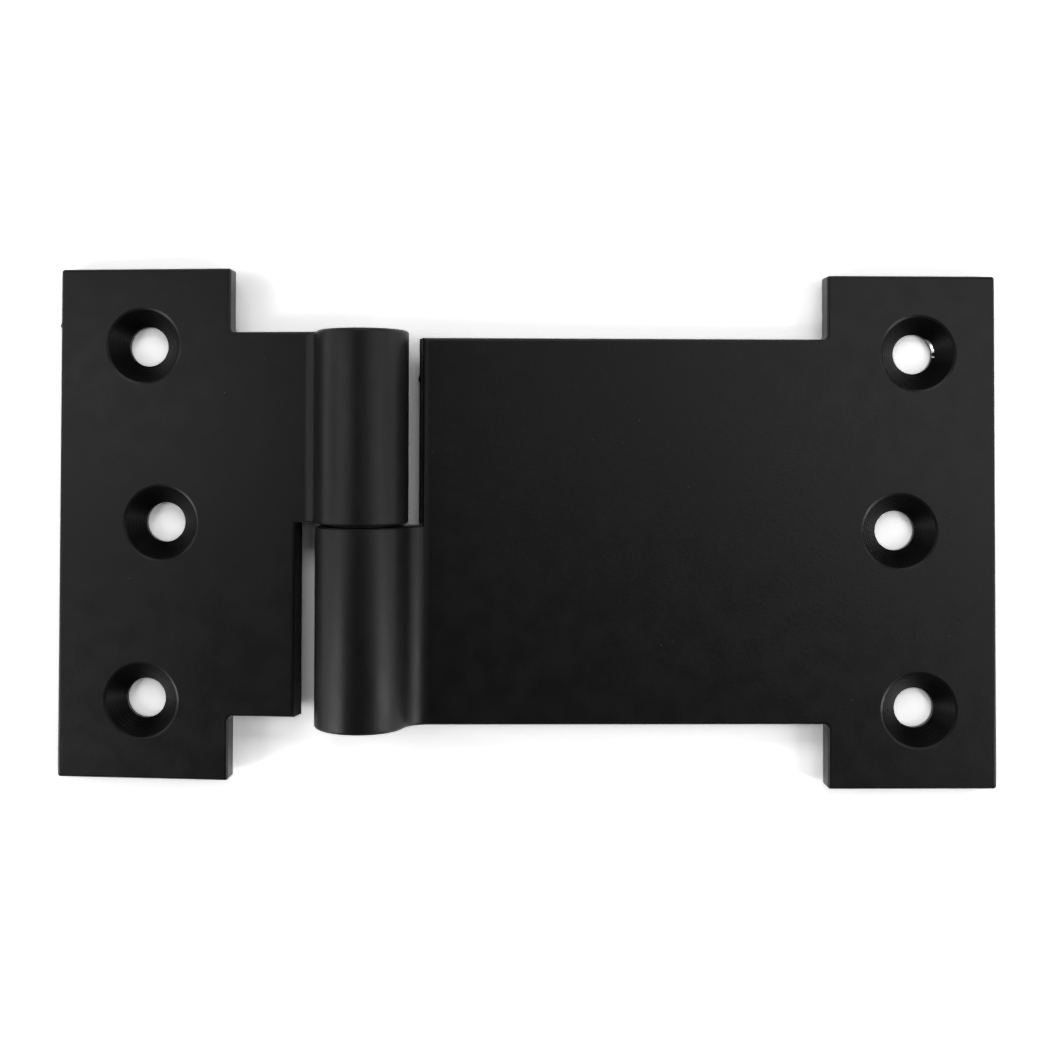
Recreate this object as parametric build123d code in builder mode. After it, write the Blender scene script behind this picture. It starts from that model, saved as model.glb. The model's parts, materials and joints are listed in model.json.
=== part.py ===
from build123d import *
import os
from math import asin, atan2, cos, hypot, isclose, sin, sqrt

# Unequal parliament hinge of the lift-off kind, one knuckle on each leaf, lying open, countersinks up.
# The pin runs along Y, the short leaf reaches towards -X and the long leaf towards +X.
# Z = 0 is the table: the barrel lies on it, and each leaf hangs down until its outer edge touches it too.

# Leaves, in millimetres
ear_height = 100.0
body_height = 75.0
leaf_thickness = 4.4
short_reach = 60.5
short_ear_width = 34.2
long_reach = 123.6
long_ear_width = 33.0
ear_root_round = 0.9
edge_round = 0.6
broken_edge = 0.3

# Screw holes, placed from the outer edge of each leaf
screw_hole_radius = 3.9
countersink_radius = 7.3
countersink_angle = 90.0
hole_spacing = 69.6
short_end_hole_inset = 16.8
short_middle_hole_inset = 20.5
long_end_hole_inset = 15.2
long_middle_hole_inset = 18.9

# Knuckles and pin
barrel_radius = 9.0
short_knuckle_length = 37.2
long_knuckle_length = 38.5
short_web_round = 2.5
long_web_round = 4.6
axis_above_face = 0.6
pin_radius = 4.0
pin_depth_long = 30.0
pin_depth_short = 31.0
pin_end_chamfer = 0.8
pin_end_room = 1.5
washer_radius = 6.4
washer_thickness = 0.4

# Clearances
web_clearance = 0.35
pin_running_clearance = 0.05
washer_bore_clearance = 0.08
washer_play = 0.05

# Places that follow from the sizes above
knuckle_gap = washer_thickness + 2 * washer_play
joint_y = (long_knuckle_length - short_knuckle_length) / 2
short_joint_y = joint_y + knuckle_gap / 2
long_joint_y = joint_y - knuckle_gap / 2
short_middle_y = short_joint_y + short_knuckle_length - body_height / 2
long_middle_y = long_joint_y - long_knuckle_length + body_height / 2
pin_height = barrel_radius


def web_reach(web_round):
    """Distance from the pin to the line where a knuckle's web runs out into the face of its leaf."""
    return sqrt((barrel_radius + web_round) ** 2 - (web_round - axis_above_face) ** 2)


# Each leaf makes room for the other leaf's web, so that the hinge can close
short_relief_radius = web_reach(long_web_round) + web_clearance
long_relief_radius = web_reach(short_web_round) + web_clearance


def lay_angle(reach):
    """Angle by which a leaf hangs down from the pin until its rounded lower edge meets the table."""
    along = reach - edge_round
    below = axis_above_face + leaf_thickness - edge_round
    return asin((pin_height - edge_round) / hypot(along, below)) - atan2(below, along)


def tip_distance(reach):
    """Level distance from the pin to the furthest point of a leaf that lies on the table."""
    angle = lay_angle(reach)
    return (reach - edge_round) * cos(angle) - (axis_above_face + edge_round) * sin(angle) + edge_round


pin_x = (tip_distance(short_reach) - tip_distance(long_reach)) / 2


def leaf_frame(side, middle_y, reach):
    """Plane through the pin axis: its X runs out along the leaf, and its Z is the leaf's upward normal."""
    angle = lay_angle(reach)
    return Plane(
        origin=(pin_x, middle_y, pin_height),
        x_dir=(side * cos(angle), 0, -sin(angle)),
        z_dir=(side * sin(angle), 0, cos(angle)),
    )


def round_walls(walls, radius):
    """Those of the walls that are cylinders of one radius."""
    return walls.filter_by(GeomType.CYLINDER).filter_by(lambda wall: isclose(wall.radius, radius))


def build_leaf(
    frame, reach, ear_width, end_hole_inset, middle_hole_inset, knuckle_length, web_round, relief_radius, bore
):
    """Leaf with its knuckle on the low Y half of its frame, and room for the other one on the high half."""
    face = frame.offset(-axis_above_face)
    ear_root = reach - ear_width
    joint = frame.from_local_coords((0, knuckle_length - body_height / 2, 0))
    joint_face = Plane(origin=joint, x_dir=frame.x_dir, z_dir=frame.y_dir)
    low_end = Plane(
        origin=frame.from_local_coords((0, -body_height / 2, 0)), x_dir=frame.x_dir, z_dir=-frame.y_dir
    )
    bore_radius, bore_depth = bore

    with BuildPart() as leaf:
        # Plate, with its ears
        with BuildSketch(face):
            Rectangle(reach, body_height, align=(Align.MIN, Align.CENTER))
            with Locations((ear_root, 0)):
                Rectangle(ear_width, ear_height, align=(Align.MIN, Align.CENTER))
            ear_roots = vertices().group_by(Axis.X)[1]
            fillet(ear_roots.sort_by(lambda corner: abs(corner.Y))[:2], ear_root_round)
        extrude(amount=-leaf_thickness)

        # Barrel along the whole leaf, which flows into both faces of the plate by a concave web
        with BuildSketch(low_end):
            with Locations(Location((0, 0, 0), (0, 0, 180))):
                Circle(barrel_radius)
            with Locations((0, -axis_above_face)):
                Rectangle(barrel_radius + 2 * web_round, leaf_thickness, align=(Align.MIN, Align.MAX))
            fillet(vertices().sort_by(Axis.X)[:2], web_round)
        extrude(amount=-body_height)

        # Room for the other knuckle, cut round the pin's axis, which leaves this leaf's own knuckle
        with BuildSketch(joint_face):
            Circle(relief_radius)
        extrude(amount=body_height, mode=Mode.SUBTRACT)

        # Edges and ear corners rounded, but not the smooth lines between plate and web
        webs = round_walls(faces(), web_round)
        relief_edges = round_walls(faces(), relief_radius).edges().filter_by(Axis(frame.origin, frame.y_dir))
        plate_edges = faces().filter_by(frame).edges() - webs.edges() - relief_edges
        joint_edges = plate_edges.filter_by(lambda edge: joint_face.contains(edge.center()))
        uprights = edges().filter_by(Axis(frame.origin, frame.z_dir))
        ear_corners = uprights.sort_by(lambda upright: abs(frame.to_local_coords(upright.center()).Y))[-4:]
        fillet(plate_edges - joint_edges + relief_edges + ear_corners, edge_round)

        # Edge of the face that meets the other knuckle, only broken
        plate_edges = faces().filter_by(frame).edges()
        chamfer(plate_edges.filter_by(lambda edge: joint_face.contains(edge.center())), broken_edge)

        # Pin bore and screw holes
        with Locations(joint_face):
            Hole(bore_radius, bore_depth)
        with Locations(face):
            with Locations(
                (reach - end_hole_inset, hole_spacing / 2),
                (reach - middle_hole_inset, 0),
                (reach - end_hole_inset, -hole_spacing / 2),
            ):
                CounterSinkHole(screw_hole_radius, countersink_radius, counter_sink_angle=countersink_angle)
        rims = faces().filter_by(GeomType.CONE).edges().filter_by(GeomType.CIRCLE)
        chamfer(rims.filter_by(lambda rim: isclose(rim.radius, countersink_radius)), broken_edge)
    return leaf


short_leaf = build_leaf(
    frame=leaf_frame(-1, short_middle_y, short_reach),
    reach=short_reach,
    ear_width=short_ear_width,
    end_hole_inset=short_end_hole_inset,
    middle_hole_inset=short_middle_hole_inset,
    knuckle_length=short_knuckle_length,
    web_round=short_web_round,
    relief_radius=short_relief_radius,
    bore=(pin_radius + pin_running_clearance, pin_depth_short + pin_end_room),
)
long_leaf = build_leaf(
    frame=leaf_frame(1, long_middle_y, long_reach),
    reach=long_reach,
    ear_width=long_ear_width,
    end_hole_inset=long_end_hole_inset,
    middle_hole_inset=long_middle_hole_inset,
    knuckle_length=long_knuckle_length,
    web_round=long_web_round,
    relief_radius=long_relief_radius,
    bore=(pin_radius, pin_depth_long),
)


def across_pin(y):
    """Plane square to the pin, looking along it."""
    return Plane(origin=(pin_x, y, pin_height), x_dir=(1, 0, 0), z_dir=(0, 1, 0))


# Pin, fixed in the long leaf's knuckle and free to turn in the short leaf's
with BuildPart() as hinge_pin:
    with BuildSketch(across_pin(long_joint_y - pin_depth_long)):
        Circle(pin_radius)
    extrude(amount=pin_depth_long + knuckle_gap + pin_depth_short)
    chamfer(edges().group_by(Axis.Y)[-1], pin_end_chamfer)

# Washer that carries the short leaf's knuckle, set well back from the outside of the barrel
with BuildPart() as bearing_washer:
    with BuildSketch(across_pin(long_joint_y + washer_play)):
        Circle(washer_radius)
        Circle(pin_radius + washer_bore_clearance, mode=Mode.SUBTRACT)
    extrude(amount=washer_thickness)

os.makedirs("parts", exist_ok=True)

short_leaf.part.label = "short_leaf"
export_step(short_leaf.part, "parts/short_leaf.step")

long_leaf.part.label = "long_leaf"
export_step(long_leaf.part, "parts/long_leaf.step")

hinge_pin.part.label = "hinge_pin"
export_step(hinge_pin.part, "parts/hinge_pin.step")

bearing_washer.part.label = "bearing_washer"
export_step(bearing_washer.part, "parts/bearing_washer.step")
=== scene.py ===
# %% [markdown]
# # A parliament hinge in matte black
#
# A parliament hinge has long leaves with ears, so that a door can swing clear of the moulding beside it.
# This one is of the lift-off kind: each leaf has one knuckle, and the short leaf slides up off the pin.
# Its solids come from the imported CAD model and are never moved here. Blender gives them their finish,
# the small marks that a real coat has, and the table, light and camera of a product photograph.

# %% Load the hinge
import json
import math

import bmesh
import bpy
from mathutils import Euler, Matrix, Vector


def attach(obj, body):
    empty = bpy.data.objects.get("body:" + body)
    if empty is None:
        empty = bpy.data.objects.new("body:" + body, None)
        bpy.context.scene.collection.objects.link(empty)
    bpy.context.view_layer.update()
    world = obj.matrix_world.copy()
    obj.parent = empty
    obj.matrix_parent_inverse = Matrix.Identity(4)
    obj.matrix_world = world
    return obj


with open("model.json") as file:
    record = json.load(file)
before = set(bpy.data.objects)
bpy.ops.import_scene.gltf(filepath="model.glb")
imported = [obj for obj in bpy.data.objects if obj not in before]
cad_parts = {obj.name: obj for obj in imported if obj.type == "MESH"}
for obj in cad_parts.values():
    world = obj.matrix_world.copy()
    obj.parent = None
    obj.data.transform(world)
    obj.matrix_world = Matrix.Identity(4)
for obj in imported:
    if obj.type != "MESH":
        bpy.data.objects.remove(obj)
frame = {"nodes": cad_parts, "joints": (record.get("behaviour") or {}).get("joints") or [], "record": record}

MM = 0.001
ALONG_PIN = Vector((0, 1, 0))

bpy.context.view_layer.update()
mounts = {mount["name"]: mount for mount in frame["record"]["mounts"]}
fold = next(joint for joint in frame["joints"] if joint["name"] == "fold")
pin_point = Vector(fold["pos_m"])
print("nodes:", sorted(frame["nodes"]))

# %% [markdown]
# ## Where the screw holes are
#
# Several finishes below depend on the screw holes: turned rings in the countersinks, and a rubbed edge.
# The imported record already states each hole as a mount, with its place and axis, so nothing is measured
# from the mesh. A leaf hangs down a little from the pin, and the mount's axis carries that lean.

# %% Screw holes from the mounts


def screw_holes(leaf):
    """Centres of the upper, middle and lower screw holes of a leaf, and the axis that they share."""
    ends = mounts[leaf + "_end_screws"]
    between_ends = Vector(ends["pos_m"])
    half_spacing = ALONG_PIN * (ends["dims"]["pcd_mm"] * MM / 2)
    centres = {
        "upper": between_ends + half_spacing,
        "middle": Vector(mounts[leaf + "_middle_screw"]["pos_m"]),
        "lower": between_ends - half_spacing,
    }
    return centres, Vector(ends["axis"]).normalized()


for leaf in ("short_leaf", "long_leaf"):
    centres, axis = screw_holes(leaf)
    for name, centre in centres.items():
        print(leaf, name, "hole at", [round(x / MM, 2) for x in centre], "mm")
    print(leaf, "leans by", round(math.degrees(math.acos(axis.z)), 2), "degrees")

# %% [markdown]
# ## Small helpers for node trees
#
# A material is a tree of nodes, and so is a Geometry Nodes modifier. Writing each node on one line, with
# what goes into it, keeps the trees readable: a value that is a socket becomes a link, and any other value
# is set on the socket itself.

# %% Node helpers


def new_node(tree, node_type, values, settings):
    """Adds one node to a tree, with its settings, and sets or links its inputs by name or number."""
    node = tree.nodes.new(node_type)
    for name, setting in settings.items():
        setattr(node, name, setting)
    for key, value in values.items():
        if isinstance(value, bpy.types.NodeSocket):
            tree.links.new(value, node.inputs[key])
        else:
            node.inputs[key].default_value = value
    return node


def add(tree, kind, values=None, **settings):
    """Adds one shader node, which is named by its kind alone."""
    return new_node(tree, "ShaderNode" + kind, values or {}, settings)


def new_material(name):
    """Empty material with one Principled shader. Returns the material, its tree and the shader."""
    material = bpy.data.materials.new(name)
    material.use_nodes = True
    tree = material.node_tree
    return material, tree, tree.nodes["Principled BSDF"]


def grey_colour(level):
    """Opaque colour of one grey level."""
    return (level, level, level, 1)


# %% [markdown]
# Most nodes below only do sums, so these get a short form each. The last two measure where the shaded
# point lies, as a distance from a line and as a height along a direction.

# %% Sums, noise and distances as nodes


def math_node(tree, operation, *values):
    """Output of one Math node."""
    return add(tree, "Math", dict(enumerate(values)), operation=operation).outputs[0]


def vector_node(tree, operation, first, second):
    """Outputs of one Vector Math node."""
    return add(tree, "VectorMath", {0: first, 1: second}, operation=operation).outputs


def ramp(tree, value, start, end, low=0.0, high=1.0):
    """Smooth step of a value, from low at start to high at end."""
    span = {"From Min": start, "From Max": end, "To Min": low, "To Max": high}
    return add(tree, "MapRange", {"Value": value, **span}, interpolation_type="SMOOTHSTEP").outputs["Result"]


def noise(tree, place, scale, detail):
    """Noise between 0 and 1, with this many lumps to the unit of place."""
    return add(tree, "TexNoise", {"Vector": place, "Scale": scale, "Detail": detail}).outputs["Fac"]


def distance_from_axis(tree, place, centre, axis):
    """Distance of the shaded point from a line through centre along axis."""
    away = vector_node(tree, "SUBTRACT", place, centre)["Vector"]
    across = vector_node(tree, "CROSS_PRODUCT", away, axis)["Vector"]
    return add(tree, "VectorMath", {0: across}, operation="LENGTH").outputs["Value"]


def height_along(tree, place, centre, direction):
    """How far the shaded point lies from centre along a direction."""
    away = vector_node(tree, "SUBTRACT", place, centre)["Vector"]
    return vector_node(tree, "DOT_PRODUCT", away, direction)["Value"]


# %% [markdown]
# ## Where the coat differs
#
# One black coat covers a leaf, but some places on it look different, and each of them gets a mask: a value
# that is 1 there and 0 elsewhere. A mask could be painted on an unwrapped mesh. Here it is worked out from
# the place of the shaded point, which needs no unwrapping and is exact at any size of picture.
# The countersinks come first. They are turned, which leaves fine rings, and the coat below paints shade into
# them. A mask that asks only for the distance from the hole would also mark the back of the leaf, so it is
# limited to the height of the cone.

# %% Masks of the countersinks and their rings
COUNTERSINK_RADIUS = 7.3 * MM
COUNTERSINK_BLEND = 0.3 * MM
CONE_FOOT = (0.3 * MM, 0.6 * MM)
RING_PITCH = 0.55 * MM


def countersink_masks(tree, place, leaf):
    """Mask of the cones of a leaf's countersinks, and the wave of the turned rings in them."""
    centres, axis = screw_holes(leaf)
    upper, middle, lower = (distance_from_axis(tree, place, centre, axis) for centre in centres.values())
    from_hole = math_node(tree, "MINIMUM", math_node(tree, "MINIMUM", upper, middle), lower)
    within = ramp(tree, from_hole, COUNTERSINK_RADIUS, COUNTERSINK_RADIUS - COUNTERSINK_BLEND)
    height = height_along(tree, place, centres["middle"], axis)
    cones = math_node(tree, "MULTIPLY", within, ramp(tree, height, *CONE_FOOT))
    wave = math_node(tree, "SINE", math_node(tree, "MULTIPLY", from_hole, 2 * math.pi / RING_PITCH))
    return cones, math_node(tree, "MULTIPLY", wave, cones)


# %% [markdown]
# Each leaf is cut away round the pin's axis, to make room for the other leaf's knuckle. The powder reaches
# that wall only thinly, so it is duller than the faces. The short leaf has its cut below the joint, and the
# long leaf above it. The bore for the pin is reamed and stays bare. Its mask stops before the ends of the
# barrel, which are closed and coated.

# %% Masks of the cut wall and the bore
CUT_RADIUS = {"short_leaf": 13.35 * MM, "long_leaf": 11.69 * MM}
CUT_SIDE = {"short_leaf": -1, "long_leaf": 1}
CUT_BLEND = (0.25 * MM, 0.1 * MM)
JOINT_BLEND = 0.1 * MM
BORE_RADIUS = 4.15 * MM
BORE_BLEND = 0.05 * MM
BORE_END = 36 * MM
BORE_END_BLEND = 0.5 * MM


def cut_wall_mask(tree, place, leaf):
    """Mask of the wall that a leaf has round the other leaf's knuckle."""
    from_pin = distance_from_axis(tree, place, pin_point, ALONG_PIN)
    off_the_wall = math_node(tree, "ABSOLUTE", math_node(tree, "SUBTRACT", from_pin, CUT_RADIUS[leaf]))
    past_joint = height_along(tree, place, pin_point, ALONG_PIN * CUT_SIDE[leaf])
    beside_knuckle = ramp(tree, past_joint, -JOINT_BLEND, JOINT_BLEND)
    return math_node(tree, "MULTIPLY", ramp(tree, off_the_wall, *CUT_BLEND), beside_knuckle)


def bore_mask(tree, place):
    """Mask of the bore for the pin, which ends inside the barrel."""
    from_pin = distance_from_axis(tree, place, pin_point, ALONG_PIN)
    from_middle = math_node(tree, "ABSOLUTE", add(tree, "SeparateXYZ", {0: place}).outputs["Y"])
    within = ramp(tree, from_pin, BORE_RADIUS, BORE_RADIUS - BORE_BLEND)
    in_barrel = ramp(tree, from_middle, BORE_END, BORE_END - BORE_END_BLEND)
    return math_node(tree, "MULTIPLY", within, in_barrel)


# %% [markdown]
# At one screw hole of the long leaf the coat is rubbed off the lip between the cone and the hole, and the
# metal shines through as a thin crescent, with a small spot beyond its end. The mask is an arc, given by
# the angles at which it fades in and out, and a noise makes its width ragged.

# %% Mask of the rubbed lip
LIP_RADIUS = 3.9 * MM
LIP_WIDTH = 0.36 * MM
LIP_BLEND = 0.05 * MM
LIP_FOOT = (0.2 * MM, 0.45 * MM)
RAGGED_PER_METRE = 2500.0
RAGGED_LEAST = 0.5
CRESCENT_DEGREES = (2, 8, 38, 54)
SPOT_DEGREES = (-9.5, -8, -6, -4.5)


def arc_mask(tree, degrees, arc):
    """Mask of an arc, given as the angles at which it starts, is full, is still full and has ended."""
    starts, full, still_full, ended = arc
    fades_in = ramp(tree, degrees, starts, full)
    fades_out = ramp(tree, degrees, ended, still_full)
    return math_node(tree, "MULTIPLY", fades_in, fades_out)


def rubbed_lip(tree, place, centre, axis):
    """Mask of the bright crescent and spot on the lip between countersink and hole."""
    across = height_along(tree, place, centre, ALONG_PIN.cross(axis))
    along = height_along(tree, place, centre, ALONG_PIN)
    degrees = math_node(tree, "MULTIPLY", math_node(tree, "ARCTAN2", along, across), 180 / math.pi)
    crescent, spot = (arc_mask(tree, degrees, arc) for arc in (CRESCENT_DEGREES, SPOT_DEGREES))
    on_arc = math_node(tree, "MAXIMUM", crescent, spot)
    ragged = math_node(tree, "ADD", noise(tree, place, RAGGED_PER_METRE, detail=1.0), RAGGED_LEAST)
    width = math_node(tree, "MULTIPLY", math_node(tree, "MULTIPLY", ragged, LIP_WIDTH), on_arc)
    rubbed_radius = math_node(tree, "ADD", LIP_RADIUS, width)
    inside = math_node(tree, "SUBTRACT", rubbed_radius, distance_from_axis(tree, place, centre, axis))
    above_foot = ramp(tree, height_along(tree, place, centre, axis), *LIP_FOOT)
    rubbed = math_node(tree, "MULTIPLY", ramp(tree, inside, 0.0, LIP_BLEND), above_foot)
    return math_node(tree, "MULTIPLY", rubbed, on_arc)


# %% [markdown]
# ## Matte black coat
#
# The leaves are powder coated: a dry powder is baked until it flows into a skin that is nearly black,
# neither glossy nor flat, with a very fine unevenness. One Principled shader gives that. Its colour is
# close to black, its roughness drifts a little from place to place, and two noises raise a bump that is
# only hundredths of a millimetre high.

# %% Bump and roughness of the coat
PEEL_PER_METRE = 900
GRAIN_PER_METRE = 3600
PEEL_SHARE, GRAIN_SHARE, RING_SHARE = 0.6, 0.4, 0.25
BUMP_STRENGTH = 0.5
BUMP_HEIGHT = 0.055 * MM
DRIFT_PER_METRE = 220.0
NOISE_SPAN = (0.3, 0.7)
COAT_ROUGHNESS = (0.35, 0.42)
COUNTERSINK_ROUGHNESS = 0.42
CUT_ROUGHNESS = 0.8
BARE_SMOOTHER = 0.12


def coat_bump(tree, place, rings):
    """Normal of the coat's skin, from its peel, its grain and the turned rings under it."""
    peel = math_node(tree, "MULTIPLY", noise(tree, place, PEEL_PER_METRE, detail=2.0), PEEL_SHARE)
    grain = math_node(tree, "MULTIPLY", noise(tree, place, GRAIN_PER_METRE, detail=2.0), GRAIN_SHARE)
    skin = math_node(tree, "ADD", peel, grain)
    skin = math_node(tree, "ADD", skin, math_node(tree, "MULTIPLY", rings, RING_SHARE))
    bump = add(tree, "Bump", {"Height": skin, "Strength": BUMP_STRENGTH, "Distance": BUMP_HEIGHT})
    return bump.outputs["Normal"]


def coat_roughness(tree, place, cones, bare, cut_wall):
    """Roughness that drifts over the faces, is even in the cones, lower on bare metal and high in the cut."""
    drift = noise(tree, place, DRIFT_PER_METRE, detail=3.0)
    roughness = ramp(tree, drift, *NOISE_SPAN, *COAT_ROUGHNESS)
    excess = math_node(tree, "SUBTRACT", roughness, COUNTERSINK_ROUGHNESS)
    roughness = math_node(tree, "SUBTRACT", roughness, math_node(tree, "MULTIPLY", cones, excess))
    roughness = math_node(tree, "SUBTRACT", roughness, math_node(tree, "MULTIPLY", bare, BARE_SMOOTHER))
    return math_node(tree, "MAXIMUM", roughness, math_node(tree, "MULTIPLY", cut_wall, CUT_ROUGHNESS))


# %% [markdown]
# Where the coat is missing, the same shader turns to bare metal by its Metallic input and a paler colour.
# The same input paints shade into the countersinks: a black metal reflects nothing but its own black, so a
# cone that counts mostly as metal swallows the light that a black plastic would still throw back as gloss.

# %% Powder coat
COAT_COLOUR = 0.005
COAT_GLOSS = 0.33
BARE_METAL = 0.75
# How much of a countersink counts as black metal, which paints shade into it
COUNTERSINK_PAINTED_SHADE = 0.82


def powder_coat(leaf, rubbed_hole=None):
    """Black coat of one leaf, bare in the bore and, where a hole is named, on the rubbed lip of that hole."""
    material, tree, shader = new_material(leaf + " coat")
    place = add(tree, "TexCoord").outputs["Object"]
    cones, rings = countersink_masks(tree, place, leaf)
    cut_wall = cut_wall_mask(tree, place, leaf)
    bare = bore_mask(tree, place)
    if rubbed_hole:
        centres, axis = screw_holes(leaf)
        bare = math_node(tree, "MAXIMUM", bare, rubbed_lip(tree, place, centres[rubbed_hole], axis))

    ends = {"A": grey_colour(COAT_COLOUR), "B": grey_colour(BARE_METAL)}
    colour = add(tree, "Mix", {"Factor": bare, **ends}, data_type="RGBA").outputs["Result"]
    # Painted shade: most of each countersink counts as black metal, so it reflects little and looks darker
    metallic = math_node(tree, "MAXIMUM", bare, math_node(tree, "MULTIPLY", cones, COUNTERSINK_PAINTED_SHADE))
    tree.links.new(colour, shader.inputs["Base Color"])
    tree.links.new(metallic, shader.inputs["Metallic"])
    tree.links.new(coat_roughness(tree, place, cones, bare, cut_wall), shader.inputs["Roughness"])
    tree.links.new(coat_bump(tree, place, rings), shader.inputs["Normal"])
    shader.inputs["Specular IOR Level"].default_value = COAT_GLOSS
    return material


coats = {"short_leaf": powder_coat("short_leaf"), "long_leaf": powder_coat("long_leaf", rubbed_hole="upper")}
print("nodes in each coat:", {leaf: len(coat.node_tree.nodes) for leaf, coat in coats.items()})

# %% [markdown]
# ## Ground pin and plain washer
#
# The pin and the washer only show when the short leaf is lifted off. A pin is ground as it turns, which
# leaves fine lines round it, so its bump is a noise that is stretched flat across the pin's length.
# The washer is a black plastic stamping with no direction, so an even noise is enough.

# %% Pin and washer
LINES_STRENGTH = 0.2
LINES_HEIGHT = 0.01 * MM
ROUGHNESS_SWING = 0.05


def inner_finish(name, grey, roughness, metallic, stretch):
    """Plain finish of one grey, whose fine bump is stretched by a scale along each axis."""
    material, tree, shader = new_material(name)
    place = add(tree, "TexCoord").outputs["Object"]
    stretched = add(tree, "Mapping", {"Vector": place, "Scale": stretch}).outputs["Vector"]
    lines = noise(tree, stretched, scale=1.0, detail=4.0)
    bump = add(tree, "Bump", {"Height": lines, "Strength": LINES_STRENGTH, "Distance": LINES_HEIGHT})
    swing = ramp(tree, lines, *NOISE_SPAN, roughness - ROUGHNESS_SWING, roughness + ROUGHNESS_SWING)
    tree.links.new(bump.outputs["Normal"], shader.inputs["Normal"])
    tree.links.new(swing, shader.inputs["Roughness"])
    shader.inputs["Base Color"].default_value = grey_colour(grey)
    shader.inputs["Metallic"].default_value = metallic
    return material


finishes = {
    **coats,
    "hinge_pin": inner_finish(
        "ground steel", grey=0.55, roughness=0.28, metallic=1.0, stretch=(300, 9000, 300)
    ),
    "bearing_washer": inner_finish(
        "black plastic", grey=0.006, roughness=0.5, metallic=0.0, stretch=(2000, 2000, 2000)
    ),
}
for node, finish in finishes.items():
    mesh = frame["nodes"][node].data
    mesh.materials.clear()
    mesh.materials.append(finish)
    print(node, "->", finish.name)

# %% [markdown]
# ## Specks in the coat
#
# A coat of powder always catches some dust. Each grain stays as a pale speck, a tenth of a millimetre or
# two across, half sunk in the skin. Placing them by hand would take long and look placed. Geometry Nodes
# can strew them instead: points are spread at random over the upper face of a leaf, and each point gets a
# small squashed ball, turned to the surface. The seed is fixed, so the specks are the same on every run.

# %% Tree that strews specks
UPPER_FACE_COSINE = 0.999
SPECK_SUBDIVISIONS = 2
SMALLEST_SPECK = (0.5, 0.5, 0.3)
LARGEST_SPECK = (1.4, 1.2, 0.6)
SPECK_INPUTS = {
    "Leaf": "Geometry",
    "Upward": "Vector",
    "Density": "Float",
    "Radius": "Float",
    "Seed": "Int",
    "Finish": "Material",
}


def speck_tree():
    """Geometry Nodes tree that leaves only the specks on those faces of a mesh that look along Upward."""
    tree = bpy.data.node_groups.new("strewn specks", "GeometryNodeTree")
    for name, kind in SPECK_INPUTS.items():
        tree.interface.new_socket(name, in_out="INPUT", socket_type="NodeSocket" + kind)
    tree.interface.new_socket("Specks", in_out="OUTPUT", socket_type="NodeSocketGeometry")
    given = tree.nodes.new("NodeGroupInput").outputs

    def step(node_type, values, **settings):
        """Outputs of one more node of the tree."""
        return new_node(tree, node_type, values, settings).outputs

    normal = step("GeometryNodeInputNormal", {})["Normal"]
    facing = vector_node(tree, "DOT_PRODUCT", normal, given["Upward"])["Value"]
    upper = step("FunctionNodeCompare", {0: facing, 1: UPPER_FACE_COSINE},
                 data_type="FLOAT", operation="GREATER_THAN")["Result"]
    spread = {"Mesh": given["Leaf"], "Selection": upper, "Density": given["Density"], "Seed": given["Seed"]}
    strewn = step("GeometryNodeDistributePointsOnFaces", spread)
    ball = step("GeometryNodeMeshIcoSphere", {"Radius": given["Radius"], "Subdivisions": SPECK_SUBDIVISIONS})
    squashed = step("FunctionNodeRandomValue", {0: SMALLEST_SPECK, 1: LARGEST_SPECK, "Seed": given["Seed"]},
                    data_type="FLOAT_VECTOR")[0]
    turned = {"Points": strewn["Points"], "Rotation": strewn["Rotation"]}
    placed = step("GeometryNodeInstanceOnPoints", {**turned, "Instance": ball["Mesh"], "Scale": squashed})
    real = step("GeometryNodeRealizeInstances", {"Geometry": placed["Instances"]})["Geometry"]
    finished = step("GeometryNodeSetMaterial", {"Geometry": real, "Material": given["Finish"]})["Geometry"]
    tree.links.new(finished, tree.nodes.new("NodeGroupOutput").inputs["Specks"])
    return tree


specks = speck_tree()
print("speck tree:", len(specks.nodes), "nodes")

# %% [markdown]
# The leaf itself must not change, so the tree works on a merged copy of its mesh. What the tree gives is
# turned into a plain mesh, one for each leaf, which then rides on that leaf's body.

# %% Specks on both leaves
SPECKS_PER_SQUARE_METRE = 1700.0
SPECK_RADIUS = 0.11 * MM
SPECK_FACES = 80
SPECK_SEEDS = {"short_leaf": 4, "long_leaf": 9}
MERGE_DISTANCE = 0.001 * MM
dust = inner_finish("pale dust", grey=0.065, roughness=0.8, metallic=0.0, stretch=(6000, 6000, 6000))


def link_new(name, data):
    """New object with this data, linked to the scene at the origin."""
    thing = bpy.data.objects.new(name, data)
    bpy.context.scene.collection.objects.link(thing)
    return thing


def merged_copy(leaf):
    """Object with a copy of a leaf's mesh, whose loose triangles are merged."""
    merged = bmesh.new()
    merged.from_mesh(frame["nodes"][leaf].data)
    bmesh.ops.remove_doubles(merged, verts=merged.verts, dist=MERGE_DISTANCE)
    mesh = bpy.data.meshes.new(leaf + " copy")
    merged.to_mesh(mesh)
    merged.free()
    return link_new(leaf + " copy", mesh)


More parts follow.
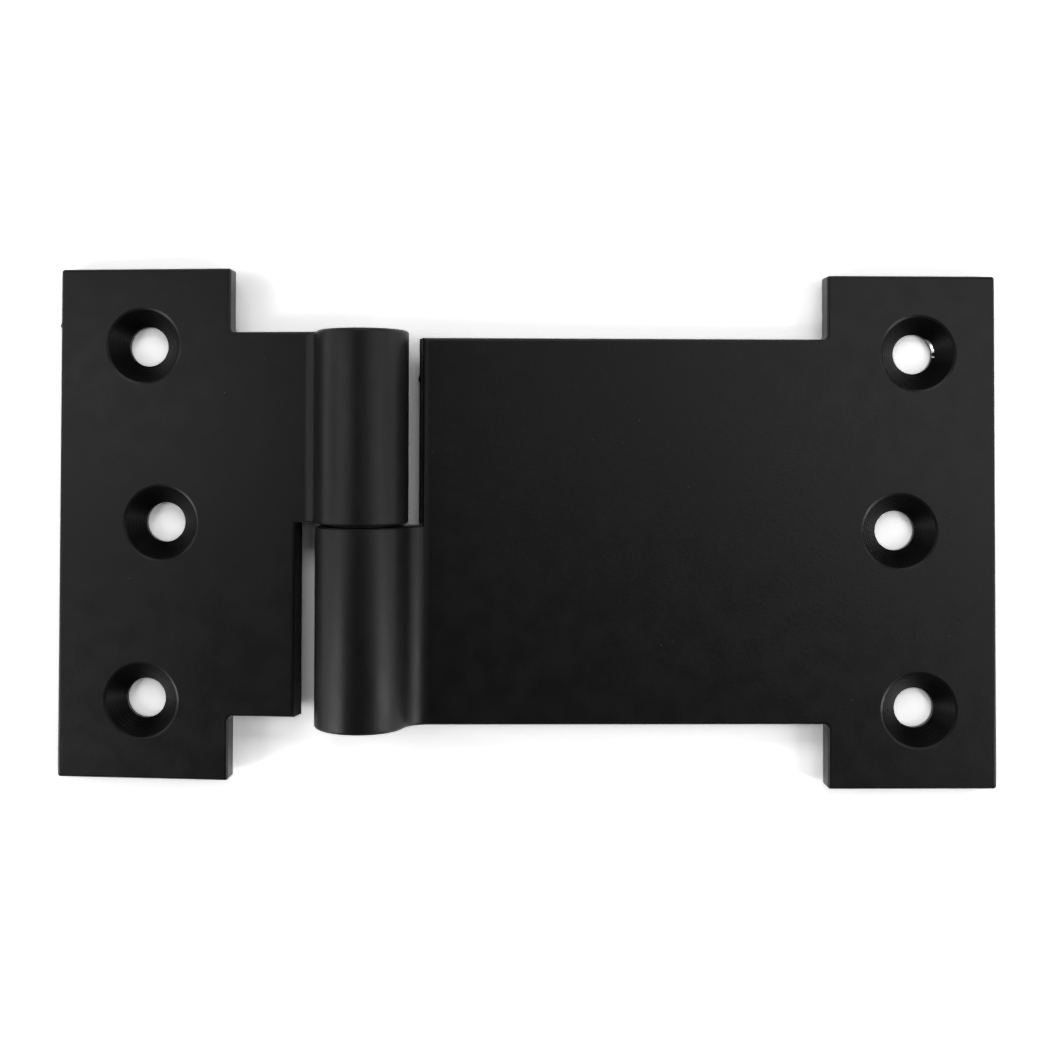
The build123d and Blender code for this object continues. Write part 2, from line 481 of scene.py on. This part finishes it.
def strew_specks(leaf):
    """Makes the specks of one leaf, as a plain mesh that rides on it."""
    carrier = merged_copy(leaf)
    strewing = carrier.modifiers.new("strewn specks", "NODES")
    strewing.node_group = specks
    inputs = {
        "Upward": screw_holes(leaf)[1],
        "Density": SPECKS_PER_SQUARE_METRE,
        "Radius": SPECK_RADIUS,
        "Seed": SPECK_SEEDS[leaf],
        "Finish": dust,
    }
    for socket in specks.interface.items_tree:
        if socket.name in inputs:
            strewing[socket.identifier] = inputs[socket.name]
    evaluated = carrier.evaluated_get(bpy.context.evaluated_depsgraph_get())
    strewn = bpy.data.meshes.new_from_object(evaluated)
    bpy.data.objects.remove(carrier)
    piece = link_new(leaf + "_specks", strewn)
    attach(piece, leaf)
    return piece


for leaf in SPECK_SEEDS:
    piece = strew_specks(leaf)
    print(piece.name, len(piece.data.polygons) // SPECK_FACES, "specks")

# %% [markdown]
# ## Burrs on two edges
#
# Where the leaves were cut out, the tool left a small burr on two of their edges, and the coat covers it.
# Each is a lump that stands out by less than a third of a millimetre. A ball of a few faces is enough for
# one: it is sunk in the edge, stretched along it and drawn out to a point that leans to one side, as torn
# metal does.

# %% Burr under the coat
BURR_THICKNESS = 0.35 * MM
BURR_TAPER = 0.7
BURR_LEAN = 0.4
TOWARDS_SHORT_LEAF = Vector((-1, 0, 0))


def coated_burr(leaf, place, height, length):
    """Burr on an edge of a leaf that runs along the pin. It stands out by its height, and it is coated."""
    up = screw_holes(leaf)[1]
    lump = bmesh.new()
    bmesh.ops.create_icosphere(lump, subdivisions=2, radius=1.0)
    for corner in lump.verts:
        x, y, z = corner.co
        drawn = max(x, 0.0)
        narrow = 1 - BURR_TAPER * drawn
        outwards = TOWARDS_SHORT_LEAF * (x * height)
        sideways = ALONG_PIN * ((y * narrow - BURR_LEAN * drawn) * length / 2)
        corner.co = place + outwards + sideways + up * (z * narrow * BURR_THICKNESS)
    bmesh.ops.recalc_face_normals(lump, faces=lump.faces)
    mesh = bpy.data.meshes.new(leaf + "_burr")
    lump.to_mesh(mesh)
    lump.free()
    mesh.materials.append(finishes[leaf])
    piece = link_new(leaf + "_burr", mesh)
    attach(piece, leaf)
    print(piece.name, "at", [round(x / MM, 2) for x in place], "mm")


# %% [markdown]
# One burr lies on the outer edge of the short leaf, which is the leftmost line of its mesh. The other lies
# low on the wall of the long leaf's cut, so its distance from the pin follows from the cut's radius.

# %% The two burrs
OUTER_BURR = {"height": 0.3 * MM, "length": 1.3 * MM}
OUTER_BURR_Y = 39.6 * MM
CUT_BURR = {"height": 0.25 * MM, "length": 1.6 * MM}
CUT_BURR_Y = 29.1 * MM
CUT_BURR_BELOW_PIN = 4.3 * MM

outer_edge = min((corner.co for corner in frame["nodes"]["short_leaf"].data.vertices), key=lambda co: co.x)
coated_burr("short_leaf", Vector((outer_edge.x, OUTER_BURR_Y, outer_edge.z)), **OUTER_BURR)

upward = screw_holes("long_leaf")[1]
from_pin = math.sqrt(CUT_RADIUS["long_leaf"] ** 2 - CUT_BURR_BELOW_PIN ** 2)
cut_edge = pin_point + ALONG_PIN.cross(upward) * from_pin - upward * CUT_BURR_BELOW_PIN
coated_burr("long_leaf", Vector((cut_edge.x, CUT_BURR_Y, cut_edge.z)), **CUT_BURR)

# %% [markdown]
# ## White sweep
#
# The hinge lies on a white sweep: a sheet that runs flat under it and then curves up all round into a
# wall, so there is no horizon. A profile of a few points, turned once round the vertical, makes it.

# %% Sweep
SWEEP_MIDDLE = 0.15
SWEEP_FLAT = 2.0
SWEEP_CURVE = 1.2
SWEEP_STEPS = 16
SWEEP_SIDES = 96
profile = [(SWEEP_MIDDLE, 0.0), (SWEEP_FLAT, 0.0)]
for step in range(1, SWEEP_STEPS + 1):
    turn = step / SWEEP_STEPS * math.pi / 2
    profile.append((SWEEP_FLAT + SWEEP_CURVE * math.sin(turn), SWEEP_CURVE * (1 - math.cos(turn))))

points, faces = [(0.0, 0.0, 0.0)], []
for side in range(SWEEP_SIDES):
    angle = 2 * math.pi * side / SWEEP_SIDES
    points += [(radius * math.cos(angle), radius * math.sin(angle), height) for radius, height in profile]
rings = len(profile)
for side in range(SWEEP_SIDES):
    this, after = 1 + side * rings, 1 + (side + 1) % SWEEP_SIDES * rings
    faces.append((0, this, after))
    faces += [(this + k, this + k + 1, after + k + 1, after + k) for k in range(rings - 1)]
sweep_mesh = bpy.data.meshes.new("white sweep")
sweep_mesh.from_pydata(points, [], faces)
sweep = link_new("white sweep", sweep_mesh)
print("sweep:", len(faces), "faces,", 2 * (SWEEP_FLAT + SWEEP_CURVE), "m across")

# %% [markdown]
# The sheet is white paper. Near the hinge it is shaded, so it keeps the shadow, and what the camera or a
# reflection sees of it is brightened, as in an exposure that lets the paper burn out. Further off it simply
# glows white, and up the wall it fades. Light that bounces softly still meets a plain white sheet, so the
# brightening shows in what the hinge reflects and doesn't light it otherwise.

# %% White paper
PAPER = 0.86
PAPER_ROUGHNESS = 0.9
BURNT_OUT = 2.12
SHADED_TO, WHITE_FROM = 0.17, 0.45
FADES_FROM, FADES_TO = 0.10, 1.0
BRIGHTEST, FAINTEST = 1.0, 0.05
paper, tree, shader = new_material("white paper")
shader.inputs["Base Color"].default_value = grey_colour(PAPER)
shader.inputs["Roughness"].default_value = PAPER_ROUGHNESS
shader.inputs["Specular IOR Level"].default_value = 0.0

path = add(tree, "LightPath").outputs
mirrored = math_node(tree, "MAXIMUM", path["Is Glossy Ray"], path["Is Transmission Ray"])
seen = math_node(tree, "MAXIMUM", path["Is Camera Ray"], mirrored)
burnt = add(tree, "BsdfDiffuse", {"Color": grey_colour(BURNT_OUT)}).outputs[0]
place = add(tree, "TexCoord").outputs["Object"]
up_the_wall = add(tree, "SeparateXYZ", {0: place}).outputs["Z"]
strength = ramp(tree, up_the_wall, FADES_FROM, FADES_TO, BRIGHTEST, FAINTEST)
glow = add(tree, "Emission", {"Strength": strength}).outputs[0]
from_middle = add(tree, "VectorMath", {0: place}, operation="LENGTH").outputs["Value"]
far_off = ramp(tree, from_middle, SHADED_TO, WHITE_FROM)
shown = add(tree, "MixShader", {0: far_off, 1: burnt, 2: glow}).outputs[0]
paper_shader = add(tree, "MixShader", {0: seen, 1: shader.outputs[0], 2: shown}).outputs[0]
tree.links.new(paper_shader, tree.nodes["Material Output"].inputs["Surface"])
sweep_mesh.materials.append(paper)
print("paper is shaded to", SHADED_TO, "m from the middle and plain white from", WHITE_FROM, "m")

# %% [markdown]
# ## Light
#
# A matte black object is drawn by what it reflects. The barrel in the photograph has two pale bands with
# a dark stripe between them, so most light comes from two soft boxes, low on the left and on the right,
# and the space above the camera is dark. Their size sets how wide the bands are, and their height where on
# the barrel they fall. A weaker box further back on each side carries the bands up the barrel. Three panels
# beside the camera lift the ends of the leaves, and one at the back lays a soft shadow in front of the hinge.

# %% Soft boxes and surround
SURROUND_STRENGTH = 0.01


def soft_box(name, place, width, length, radiance):
    """Rectangular lamp aimed at the middle of the hinge, whose face has the given radiance."""
    lamp = bpy.data.lights.new(name, "AREA")
    lamp.shape = "RECTANGLE"
    lamp.size, lamp.size_y = width, length
    lamp.energy = radiance * math.pi * width * length
    box = link_new(name, lamp)
    box.location = place
    box.rotation_euler = (-Vector(place)).to_track_quat("-Z", "Y").to_euler()
    box.visible_camera = False


# Name, place, width and length in metres, and radiance
SOFT_BOXES = (
    ("left box", (-0.486, -0.20, 0.258), 0.10, 0.35, 9.8),
    ("left upper box", (-0.517, 0.15, 0.188), 0.10, 0.35, 2.2),
    ("right box", (0.486, -0.20, 0.258), 0.10, 0.35, 9.1),
    ("right upper box", (0.517, 0.15, 0.188), 0.10, 0.35, 2.0),
    ("left panel", (-0.27, 0.05, 0.33), 0.10, 0.25, 2.05),
    ("right panel", (0.255, 0.05, 0.33), 0.20, 0.25, 1.35),
    ("top panel", (0.08, 0.06, 0.34), 0.10, 0.20, 0.65),
    ("back panel", (0.0, 0.40, 0.40), 0.50, 0.20, 2.8),
)
for box in SOFT_BOXES:
    soft_box(*box)

surround = bpy.data.worlds.new("surround")
bpy.context.scene.world = surround
surround.use_nodes = True
background = surround.node_tree.nodes["Background"]
background.inputs["Color"].default_value = grey_colour(1)
background.inputs["Strength"].default_value = SURROUND_STRENGTH
print("lamps:", [lamp.name for lamp in bpy.data.lights])

# %% [markdown]
# ## Camera
#
# The photograph looks almost straight down. The camera's place, lens and lean were worked out from the
# outline and the six screw holes, whose upper and lower rims show how far each point is from the lens.
# The lens axis doesn't meet the middle of the picture, so the camera is shifted by the difference.

# %% Camera
IMAGE_SIDE = 1052
FOCAL_LENGTH_PX = 1336.2
CENTRE_PX = (488.4, 413.0)
SENSOR = 36.0
NEAREST, FURTHEST = 0.01, 20
CAMERA_RIGHT_OF_PIN = 28.34 * MM
CAMERA_Y = 17.09 * MM
CAMERA_HEIGHT = 267.1 * MM
LEAN_DEGREES = (1.148, 0.874, 0.146)

camera = bpy.data.cameras.new("camera")
camera.sensor_width = SENSOR
camera.lens = SENSOR * FOCAL_LENGTH_PX / IMAGE_SIDE
camera.shift_x = (IMAGE_SIDE / 2 - CENTRE_PX[0]) / IMAGE_SIDE
camera.shift_y = (CENTRE_PX[1] - IMAGE_SIDE / 2) / IMAGE_SIDE
camera.clip_start, camera.clip_end = NEAREST, FURTHEST
viewpoint = link_new("camera", camera)
viewpoint.location = (pin_point.x + CAMERA_RIGHT_OF_PIN, CAMERA_Y, CAMERA_HEIGHT)
about_x, about_y, about_z = (math.radians(angle) for angle in LEAN_DEGREES)
lean = Euler((about_x, 0, 0)).to_matrix() @ Euler((0, about_y, 0)).to_matrix()
lean = lean @ Euler((0, 0, about_z)).to_matrix()
viewpoint.rotation_euler = lean.to_euler()
bpy.context.scene.camera = viewpoint
bpy.context.scene.view_settings.view_transform = "Standard"
print("lens", round(camera.lens, 2), "mm, shift", round(camera.shift_x, 3), round(camera.shift_y, 3))
